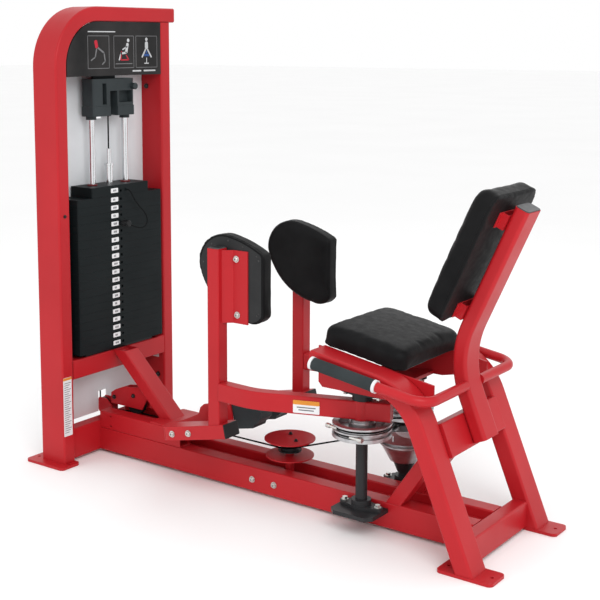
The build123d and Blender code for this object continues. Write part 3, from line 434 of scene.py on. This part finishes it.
def pad(node, name, back, cap, crown, seam_depths):
    """A stuffed pad in the place of its CAD solid; back is the direction of its board."""
    body = BODY_OF[node]
    piece = finish_mesh(name, copy_mesh(node, name), LOOKS["vinyl"], body)
    remesh = piece.modifiers.new("Remesh", "REMESH")
    remesh.mode = "VOXEL"
    remesh.voxel_size = 0.006
    apply_modifiers(piece)
    back = Vector(back).normalized()
    points = [v.co.copy() for v in piece.data.vertices]
    centre = sum(points, Vector()) / len(points)
    deepest = max(p.dot(back) for p in points)
    thick = deepest - min(p.dot(back) for p in points)
    flat = [p - back * p.dot(back) for p in points]
    middle = centre - back * centre.dot(back)
    reach = max((p - middle).length for p in flat)
    for vertex, p, q in zip(piece.data.vertices, points, flat):
        share = (deepest - p.dot(back)) / thick
        away = (q - middle).length / reach
        vertex.co = (p - (q - middle) * 0.012 - back * crown * share * (1 - away ** 2)
                     + back * crown * 0.5 * share)
    inflate(piece, back, cap)
    smooth = piece.modifiers.new("Smooth", "SMOOTH")
    smooth.factor = 0.5
    smooth.iterations = 3
    subdivide = piece.modifiers.new("Subdivision", "SUBSURF")
    subdivide.levels = subdivide.render_levels = 1
    apply_modifiers(piece)
    piece.data.materials.clear()
    piece.data.materials.append(LOOKS["vinyl"].mat)
    for polygon in piece.data.polygons:
        polygon.use_smooth = True
    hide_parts(node)
    for k, depth in enumerate(seam_depths):
        seam(f"{name}_seam_{k + 1}", piece, back, deepest - depth, middle, reach, body)
    return piece


def seam(name, piece, back, level, middle, reach, body, radius=0.0013):
    """A piped seam round the pad at one depth from its board, laid on the finished surface."""
    tree = BVHTree.FromPolygons([v.co for v in piece.data.vertices],
                                [p.vertices for p in piece.data.polygons])
    side = back.cross(Vector((0, 1, 0)) if abs(back.y) < 0.9 else Vector((1, 0, 0))).normalized()
    other = back.cross(side)
    points = []
    for k in range(96):
        a = 2 * math.pi * k / 96
        out = side * math.cos(a) + other * math.sin(a)
        start = middle + back * level + out * reach * 1.4
        hit = tree.ray_cast(start, -out)[0]
        if hit is not None:
            points.append(hit - out * radius * 0.2)
    curve(name, points, radius, LOOKS["vinyl"], body, closed=True)


SPINE_TILT = math.radians(24.3)
SEAT_TILT = math.radians(9.5)
pad("back_pad", "back_cushion", (math.cos(SPINE_TILT), 0, -math.sin(SPINE_TILT)), 0.007, 0.010, (0.010,))
pad("seat_cushion", "seat_pad", (-math.sin(SEAT_TILT), 0, -math.cos(SEAT_TILT)), 0.007, 0.012, (0.008,))
pad("thigh_pad_near", "near_thigh_cushion", (0, -1, 0), 0.005, 0.005, (0.012, 0.046))
pad("thigh_pad_far", "far_thigh_cushion", (0, 1, 0), 0.005, 0.005, (0.012, 0.046))


def grips():
    for name, sign in (("near_grip", -1), ("far_grip", 1)):
        mesh = copy_mesh("hand_grips", name)
        bm = bmesh.new()
        bm.from_mesh(mesh)
        bmesh.ops.delete(bm, geom=[v for v in bm.verts if v.co.y * sign < 0], context="VERTS")
        bm.to_mesh(mesh)
        bm.free()
        piece = finish_mesh(name, mesh, LOOKS["grip_rubber"], "frame")
        remesh = piece.modifiers.new("Remesh", "REMESH")
        remesh.mode = "VOXEL"
        remesh.voxel_size = 0.0022
        smooth = piece.modifiers.new("Smooth", "SMOOTH")
        smooth.iterations = 4
        apply_modifiers(piece)
        piece.data.materials.clear()
        piece.data.materials.append(LOOKS["grip_rubber"].mat)
        for polygon in piece.data.polygons:
            polygon.use_smooth = True
        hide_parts("hand_grips")


grips()


# ---- pad boards, staples and caps -----------------------------------------------------
def thigh_board(side, sign):
    """Backing board of a thigh pad, a little smaller than the pad, with its staples."""
    node = f"thigh_pad_{side}"
    lo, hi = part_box(node)
    outer = hi.y if sign > 0 else lo.y
    verts = [v.co for v in NODES[node].data.vertices if abs(v.co.y - outer) < 0.0005]
    middle = Vector(((lo.x + hi.x) / 2 + 0.02, 0, (lo.z + hi.z) / 2))
    ring = sorted({(round(v.x, 4), round(v.z, 4)) for v in verts},
                  key=lambda p: math.atan2(p[1] - middle.z, p[0] - middle.x))
    plane = basis((0, outer, 0), (1, 0, 0) if sign < 0 else (-1, 0, 0), (0, 0, 1))
    flip = 1 if sign < 0 else -1
    inset = [(flip * (middle.x + (x - middle.x) * 0.90), middle.z + (z - middle.z) * 0.92) for x, z in ring]
    body = f"arm_{side}"
    plates(f"{side}_pad_board", [inset], 0.0012, plane, BOARD, body, 0.0006)
    dots = []
    for k in range(0, 12):
        a = 2 * math.pi * k / 12 + 0.2
        best = min(ring, key=lambda p: abs((math.atan2(p[1] - middle.z, p[0] - middle.x) - a + math.pi)
                                           % (2 * math.pi) - math.pi))
        dots.append(disc(flip * (middle.x + (best[0] - middle.x) * 0.82),
                         middle.z + (best[1] - middle.z) * 0.85, 0.0035, 10))
    plates(f"{side}_pad_staples", dots, 0.0022, plane, LOOKS["bolt_dark"], body, 0.0008)


for side, sign in (("near", -1), ("far", 1)):
    thigh_board(side, sign)


def caps():
    for side, sign in (("near", -1), ("far", 1)):
        body = f"arm_{side}"
        bar_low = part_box(f"arm_bar_{side}")[0]
        post_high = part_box(f"arm_post_{side}")[1]
        x, y = bar_low.x - 0.0255, sign * 0.2545
        top = basis((x, y, post_high.z), (1, 0, 0), (0, 1, 0))
        plates(f"{side}_post_cap", [rounded_rect(0.047, 0.047, 0.006)], 0.003, top, CAP_GREY, body,
               0.0012)
        plates(f"{side}_post_cap_rim", [rounded_rect(0.034, 0.034, 0.004)], 0.0042, top, BOARD, body,
               0.0012)
        tilt = math.radians(12.5)
        tube_up = Vector((-math.sin(tilt), 0, math.cos(tilt)))
        centre = Vector((-0.0434, sign * 0.245, 0.2572)) + tube_up * 0.025
        end = basis(centre, (0, 1, 0), tube_up)
        plates(f"{side}_foot_tube_cap", [rounded_rect(0.0755, 0.0495, 0.004)], 0.007, end,
               LOOKS["plastic_black"], body, 0.002)
    spine_top = basis((0.937, 0, 1.121), (0, 1, 0), (-math.cos(SPINE_TILT), 0, math.sin(SPINE_TILT)))
    plates("spine_cap", [rounded_rect(0.095, 0.046, 0.011)], 0.0035, spine_top, CAP_GREY, "frame",
           0.0015)


caps()


# ---- labels, panel and stickers -------------------------------------------------------
WEIGHT_PLATES = 19


def weight_labels():
    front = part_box("lower_weights")[1].x + 0.0002
    lifted_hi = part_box("lifted_weights")[1]
    lower_lo, lower_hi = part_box("lower_weights")
    pitch = (lifted_hi.z - lower_lo.z) / WEIGHT_PLATES
    rows = {"stack": [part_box("head_plate")[0].z + 0.0195], "frame": []}
    for k in range(WEIGHT_PLATES):
        z = lifted_hi.z - pitch * (k + 0.5)
        rows["stack" if z > lower_hi.z else "frame"].append(z)
    plane = basis((front, 0, 0), (0, 1, 0), (0, 0, 1))
    for body, levels in rows.items():
        plates(f"{body}_plate_labels", [rounded_rect(0.040, 0.018, 0.003, -0.036, z) for z in levels], 0.0008,
               plane, LABEL, body, 0.0003)
        marks = []
        for k, z in enumerate(levels):
            for j in range(2 + (k + 1) % 2):
                marks.append(rounded_rect(0.0042, 0.0085, 0.0014, -0.042 + 0.0065 * j, z))
        plates(f"{body}_plate_marks", marks, 0.0011, plane, INK, body)


def panel():
    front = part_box("placard")[1].x + 0.0001
    plane = basis((front, 0, 0), (0, 1, 0), (0, 0, 1))
    frames, pale, red, blue, grey = [], [], [], [], []
    for y_low, y_high in ((-0.151, -0.036), (-0.009, 0.103), (0.116, 0.240)):
        frames += frame_bars(y_high - y_low, 0.124, (y_low + y_high) / 2, 1.591, 0.0022)
    # a torso with a marked hip and thin legs
    grey += [bar((-0.098, 1.608), (-0.064, 1.588), 0.007), bar((-0.064, 1.588), (-0.058, 1.556), 0.006),
             bar((-0.104, 1.604), (-0.112, 1.572), 0.006), bar((-0.112, 1.572), (-0.134, 1.560), 0.005),
             bar((-0.058, 1.556), (-0.074, 1.544), 0.005)]
    red += [bar((-0.108, 1.632), (-0.103, 1.610), 0.016)]
    # a seated side view
    pale += [disc(0.072, 1.636, 0.007), bar((0.068, 1.622), (0.060, 1.590), 0.013),
             bar((0.060, 1.588), (0.030, 1.585), 0.008), bar((0.066, 1.612), (0.040, 1.600), 0.005),
             bar((0.030, 1.585), (0.020, 1.560), 0.006)]
    red += [bar((0.034, 1.592), (0.028, 1.560), 0.006), bar((0.030, 1.560), (0.072, 1.560), 0.005),
            bar((0.060, 1.578), (0.074, 1.560), 0.005)]
    grey += [bar((0.000, 1.545), (0.094, 1.545), 0.003)]
    # a front view with the knees apart
    pale += [disc(0.178, 1.640, 0.007), bar((0.178, 1.626), (0.178, 1.606), 0.018),
             bar((0.172, 1.600), (0.152, 1.570), 0.007), bar((0.184, 1.600), (0.206, 1.570), 0.007),
             bar((0.178, 1.566), (0.178, 1.548), 0.004), bar((0.166, 1.545), (0.190, 1.545), 0.004)]
    blue += [bar((0.166, 1.578), (0.192, 1.578), 0.010), disc(0.178, 1.590, 0.005)]
    for name, shapes, look in (("panel_frames", frames, LINES), ("panel_pale", pale, FIGURE),
                               ("panel_red", red, FIGURE_RED), ("panel_blue", blue, FIGURE_BLUE),
                               ("panel_grey", grey, LINES)):
        plates(name, shapes, 0.0004, plane, look, "frame")
    dashes = [rounded_rect(0.05, 0.006, 0.002, 0.12, 1.516), rounded_rect(0.07, 0.006, 0.002, 0.195, 1.516),
              rounded_rect(0.15, 0.004, 0.0015, -0.075, 1.669)]
    plates("panel_dashes", dashes, 0.0004, plane, FIGURE, "frame")


def stickers():
    upright = basis((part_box("far_upright")[1].x + 0.0001, 0, 0), (0, 1, 0), (0, 0, 1))
    plates("tall_label", [rounded_rect(0.044, 0.232, 0.003, -0.2975, 0.236)], 0.0005, upright, LABEL,
           "frame")
    plates("tall_label_band", [rounded_rect(0.044, 0.010, 0.002, -0.2975, 0.346)], 0.0008, upright,
           AMBER, "frame")
    lines = [rounded_rect(0.034 - 0.006 * (k % 3), 0.0022, 0.0008, -0.2975 - 0.003 * (k % 3),
                          0.330 - 0.0085 * k) for k in range(24)]
    plates("tall_label_lines", lines, 0.0008, upright, INK, "frame")

    inner = basis((0, -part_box("placard")[0].y - 0.0001 + 0.0003, 0), (1, 0, 0), (0, 0, 1))
    small = rounded_rect(0.070, 0.046, 0.003, -0.873, 0.333)
    plates("small_label", [small], 0.0005, inner, LABEL, "frame")
    plates("small_label_band", [rounded_rect(0.070, 0.015, 0.003, -0.873, 0.3485)], 0.0008, inner, AMBER,
           "frame")
    plates("small_label_lines", [rounded_rect(0.052 - 0.01 * k, 0.003, 0.001, -0.873, 0.334 - 0.008 * k)
                                 for k in range(3)], 0.0008, inner, INK, "frame")


def arm_label(side, sign):
    """A small label on the outer face of a leg arm's bar, laid where the bar is straight."""
    node = NODES[f"arm_bar_{side}"]
    tree = BVHTree.FromPolygons([v.co for v in node.data.vertices], [p.vertices for p in node.data.polygons])
    spots = []
    for x in (0.225, 0.300):
        spots.append(tree.ray_cast(Vector((x, sign * 0.6, 0.42)), Vector((0, -sign, 0)))[0])
    along = (spots[1] - spots[0]).normalized() * (1 if sign < 0 else -1)
    plane = basis((spots[0] + spots[1]) / 2, along, (0, 0, 1))
    body = f"arm_{side}"
    lift = plane @ Matrix.Translation((0, 0, 0.0002))
    plates(f"{side}_arm_label", [rounded_rect(0.092, 0.044, 0.003, 0, -0.004)], 0.0005, lift, LABEL, body)
    plates(f"{side}_arm_label_band", [rounded_rect(0.092, 0.015, 0.003, 0, 0.0105)], 0.0008, lift,
           AMBER, body)
    plates(f"{side}_arm_label_lines", [rounded_rect(0.066 - 0.012 * k, 0.0036, 0.001, 0, -0.006 - 0.009 * k)
                                       for k in range(2)], 0.0008, lift, INK, body)


weight_labels()
panel()
stickers()
for side, sign in (("near", -1), ("far", 1)):
    arm_label(side, sign)
